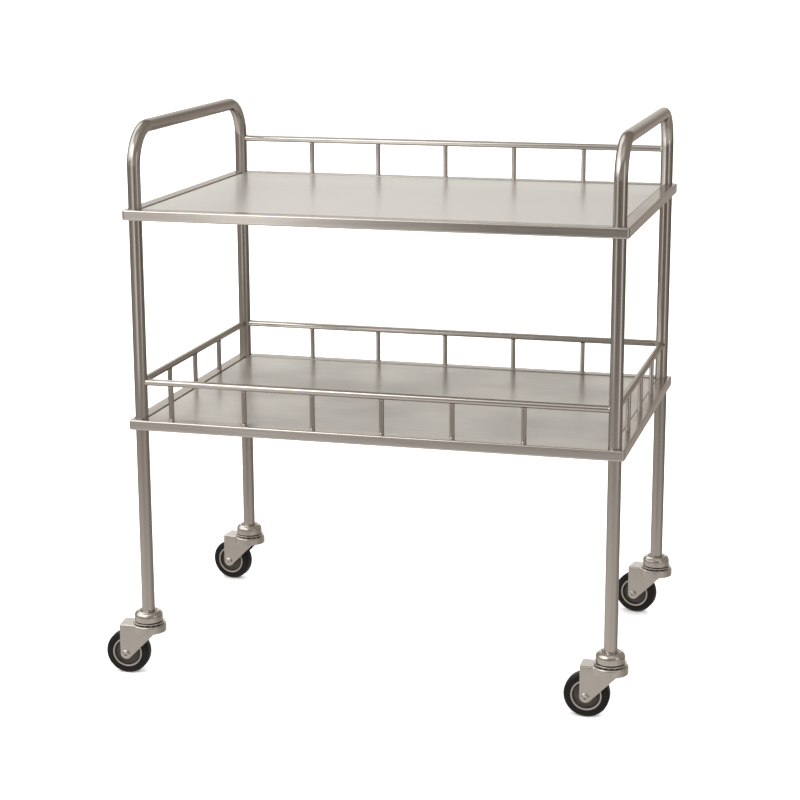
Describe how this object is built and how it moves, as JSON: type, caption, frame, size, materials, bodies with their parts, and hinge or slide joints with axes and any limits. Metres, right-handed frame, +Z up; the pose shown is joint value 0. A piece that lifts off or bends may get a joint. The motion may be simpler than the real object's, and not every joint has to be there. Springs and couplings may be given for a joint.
{
  "type": "instrument cart",
  "caption": "Two-shelf stainless instrument cart with bent-tube end frames that form the handles, guard rails and swivel casters.",
  "frame": {"origin": "on the floor under the middle of the whole cart, with its four casters trailing to the left as stored; the shelves and end frames are centred 20.75 mm to the right of it", "axes": "+Z up, +X to the right along the shelves' long side, -Y towards the front, the side with a rail on the lower shelf only"},
  "size_m": [0.8256, 0.5333, 0.864],
  "materials": {
    "frame_tube": "satin, brushed along its length",
    "shelf_rim": "satin, fine brushed grain",
    "shelf_panel": "satin, long brushed grain with soft reflections",
    "shelf_rib": "satin, mill finish",
    "guard_rail": "satin, brushed along its length",
    "hidden_steel": "turned",
    "caster_steel": "nickel plated, softly polished",
    "caster_fork": "nickel plated pressing, satin",
    "wheel_ring": "satin",
    "wheel_hub": "dark brown, moulded",
    "tyre": "matte black rubber"
  },
  "bodies": {
    "cart": {"left_end_tube": "frame_tube", "right_end_tube": "frame_tube", "upper_shelf_rim": "shelf_rim", "upper_shelf_panel": "shelf_panel", "upper_shelf_stiffener": "shelf_rib", "lower_shelf_rim": "shelf_rim", "lower_shelf_panel": "shelf_panel", "lower_shelf_stiffener": "shelf_rib", "upper_back_rail": "guard_rail", "upper_back_uprights": "guard_rail", "lower_front_rail": "guard_rail", "lower_front_uprights": "guard_rail", "lower_back_rail": "guard_rail", "lower_back_uprights": "guard_rail", "lower_left_rail": "guard_rail", "lower_left_uprights": "guard_rail", "lower_right_rail": "guard_rail", "lower_right_uprights": "guard_rail", "leg_sockets": "hidden_steel", "swivel_stems": "hidden_steel", "swivel_balls": "hidden_steel", "front_left_bell": "caster_steel", "front_left_race": "caster_steel", "front_right_bell": "caster_steel", "front_right_race": "caster_steel", "back_left_bell": "caster_steel", "back_left_race": "caster_steel", "back_right_bell": "caster_steel", "back_right_race": "caster_steel"},
    "front_left_swivel": {"front_left_fork": "caster_fork", "front_left_axle": "caster_steel", "front_left_nut": "caster_steel"},
    "front_left_wheel": {"front_left_hub": "wheel_hub", "front_left_bushing": "hidden_steel", "front_left_rings": "wheel_ring", "front_left_tyre": "tyre"},
    "front_right_swivel": {"front_right_fork": "caster_fork", "front_right_axle": "caster_steel", "front_right_nut": "caster_steel"},
    "front_right_wheel": {"front_right_hub": "wheel_hub", "front_right_bushing": "hidden_steel", "front_right_rings": "wheel_ring", "front_right_tyre": "tyre"},
    "back_left_swivel": {"back_left_fork": "caster_fork", "back_left_axle": "caster_steel", "back_left_nut": "caster_steel"},
    "back_left_wheel": {"back_left_hub": "wheel_hub", "back_left_bushing": "hidden_steel", "back_left_rings": "wheel_ring", "back_left_tyre": "tyre"},
    "back_right_swivel": {"back_right_fork": "caster_fork", "back_right_axle": "caster_steel", "back_right_nut": "caster_steel"},
    "back_right_wheel": {"back_right_hub": "wheel_hub", "back_right_bushing": "hidden_steel", "back_right_rings": "wheel_ring", "back_right_tyre": "tyre"}
  },
  "joints": [
    {"name": "front_left_swivel_turn", "type": "hinge", "parent": "cart", "child": "front_left_swivel", "pos_m": [-0.34425, -0.238, 0.0825], "axis": [0, 0, 1], "continuous": true},
    {"name": "front_left_wheel_spin", "type": "hinge", "parent": "front_left_swivel", "child": "front_left_wheel", "pos_m": [-0.37812, -0.24096, 0.0345], "axis": [-0.0872, 0.9962, 0], "continuous": true},
    {"name": "front_right_swivel_turn", "type": "hinge", "parent": "cart", "child": "front_right_swivel", "pos_m": [0.38575, -0.238, 0.0825], "axis": [0, 0, 1], "continuous": true},
    {"name": "front_right_wheel_spin", "type": "hinge", "parent": "front_right_swivel", "child": "front_right_wheel", "pos_m": [0.35175, -0.23859, 0.0345], "axis": [-0.0175, 0.9998, 0], "continuous": true},
    {"name": "back_left_swivel_turn", "type": "hinge", "parent": "cart", "child": "back_left_swivel", "pos_m": [-0.34425, 0.238, 0.0825], "axis": [0, 0, 1], "continuous": true},
    {"name": "back_left_wheel_spin", "type": "hinge", "parent": "back_left_swivel", "child": "back_left_wheel", "pos_m": [-0.37792, 0.24273, 0.0345], "axis": [0.1392, 0.9903, 0], "continuous": true},
    {"name": "back_right_swivel_turn", "type": "hinge", "parent": "cart", "child": "back_right_swivel", "pos_m": [0.38575, 0.238, 0.0825], "axis": [0, 0, 1], "continuous": true},
    {"name": "back_right_wheel_spin", "type": "hinge", "parent": "back_right_swivel", "child": "back_right_wheel", "pos_m": [0.35237, 0.24449, 0.0345], "axis": [0.1908, 0.9816, 0], "continuous": true}
  ]
}
